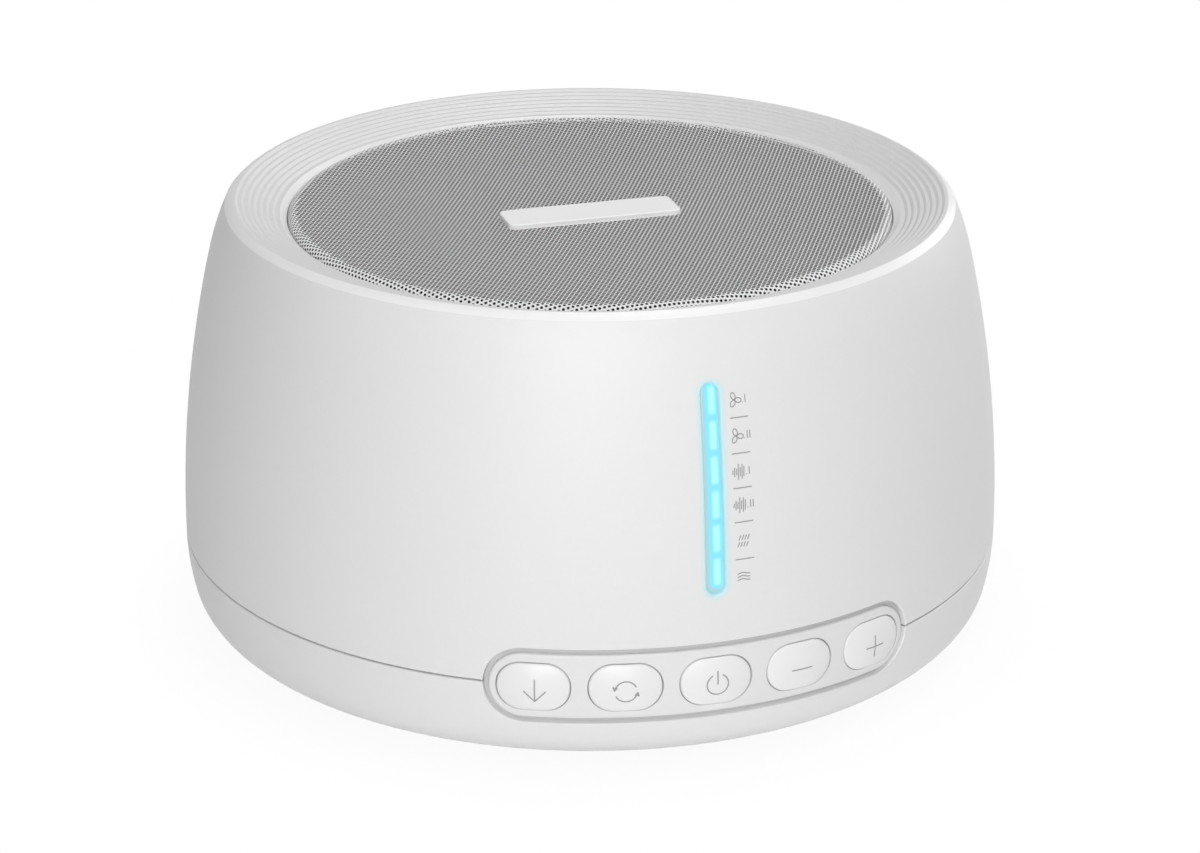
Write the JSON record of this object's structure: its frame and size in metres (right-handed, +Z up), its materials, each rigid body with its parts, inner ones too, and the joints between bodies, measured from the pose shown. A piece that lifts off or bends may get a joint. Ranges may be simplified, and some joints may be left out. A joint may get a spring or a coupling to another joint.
{
  "type": "sound machine",
  "caption": "Round white bedside sound machine: a speaker under a perforated top grille, push buttons on a curved front panel and a segmented light bar.",
  "frame": {"origin": "on the table plane under the centre of the round housing", "axes": "+Z up, the front with the buttons faces -Y, the power inlet faces +Y, +X is the viewer's right from the front"},
  "size_m": [0.124, 0.1247, 0.066],
  "materials": {
    "shell_white": "satin moulded ABS",
    "panel_white": "satin moulded ABS",
    "key_white": "smooth moulded ABS caps",
    "switch_black": "moulded nylon",
    "flex_film": "polyimide film",
    "screw_steel": "zinc-plated steel",
    "bar_lens": "milky diffuser",
    "led_white": "LED package",
    "board_green": "glass-epoxy board",
    "ribbon_grey": "PVC ribbon cable",
    "grille_white": "powder-coated perforated sheet",
    "cloth_black": "acoustic scrim",
    "plate_white": "bare white plate",
    "gasket_foam": "foam rubber",
    "basket_steel": "pressed steel, black",
    "pole_steel": "zinc-plated steel",
    "ferrite": "ferrite",
    "cone_paper": "pressed pulp",
    "coil_copper": "enamelled copper wire",
    "edge_rubber": "rolled rubber edge",
    "spider_cloth": "treated cloth",
    "terminal_brass": "tinned brass tags on their block",
    "wire_pvc": "PVC-insulated wire",
    "capacitor_blue": "sleeved aluminium can",
    "header_cream": "moulded nylon",
    "contact_steel": "nickel-plated contact",
    "foot_rubber": "soft rubber"
  },
  "bodies": {
    "housing": {"base_shell": "shell_white", "upper_shell": "shell_white", "control_panel": "panel_white", "switch_housings": "switch_black", "switch_flex": "flex_film", "switch_carrier": "switch_black", "carrier_screws": "screw_steel", "light_lens": "bar_lens", "light_baffle": "switch_black", "indicator_leds": "led_white", "indicator_board": "board_green", "indicator_screws": "screw_steel", "indicator_ribbon": "ribbon_grey", "key_ribbon": "flex_film", "speaker_grille": "grille_white", "acoustic_cloth": "cloth_black", "name_plate": "plate_white", "speaker_gasket": "gasket_foam", "speaker_basket": "basket_steel", "speaker_top_plate": "pole_steel", "speaker_magnet": "ferrite", "speaker_yoke": "pole_steel", "surround": "edge_rubber", "spider": "spider_cloth", "speaker_screws": "screw_steel", "speaker_terminals": "terminal_brass", "speaker_wires": "wire_pvc", "main_board": "board_green", "processor_chip": "switch_black", "amplifier_chip": "switch_black", "memory_chip": "switch_black", "capacitors": "capacitor_blue", "board_headers": "header_cream", "inlet_body": "switch_black", "inlet_pin": "contact_steel", "board_screws": "screw_steel", "case_screws": "screw_steel", "rubber_feet": "foot_rubber"},
    "key_down": {"button_down": "key_white", "plunger_down": "switch_black"},
    "key_cycle": {"button_cycle": "key_white", "plunger_cycle": "switch_black"},
    "key_power": {"button_power": "key_white", "plunger_power": "switch_black"},
    "key_minus": {"button_minus": "key_white", "plunger_minus": "switch_black"},
    "key_plus": {"button_plus": "key_white", "plunger_plus": "switch_black"},
    "cone": {"speaker_cone": "cone_paper", "dust_cap": "cone_paper", "voice_coil": "coil_copper"}
  },
  "joints": [
    {"name": "press_down", "type": "slide", "parent": "housing", "child": "key_down", "axis": [0.4019, 0.9157, 0], "range_m": [0, 0.0005], "stiffness_N_per_m": 800, "springref_m": -0.001},
    {"name": "press_cycle", "type": "slide", "parent": "housing", "child": "key_cycle", "axis": [0.2053, 0.9787, 0], "range_m": [0, 0.0005], "stiffness_N_per_m": 800, "springref_m": -0.001},
    {"name": "press_power", "type": "slide", "parent": "housing", "child": "key_power", "axis": [0, 1, 0], "range_m": [0, 0.0005], "stiffness_N_per_m": 800, "springref_m": -0.001},
    {"name": "press_minus", "type": "slide", "parent": "housing", "child": "key_minus", "axis": [-0.2053, 0.9787, 0], "range_m": [0, 0.0005], "stiffness_N_per_m": 800, "springref_m": -0.001},
    {"name": "press_plus", "type": "slide", "parent": "housing", "child": "key_plus", "axis": [-0.4019, 0.9157, 0], "range_m": [0, 0.0005], "stiffness_N_per_m": 800, "springref_m": -0.001},
    {"name": "cone_travel", "type": "slide", "parent": "housing", "child": "cone", "axis": [0, 0, 1], "range_m": [-0.0015, 0.0015], "stiffness_N_per_m": 1500, "deforming": ["surround", "spider"]}
  ]
}
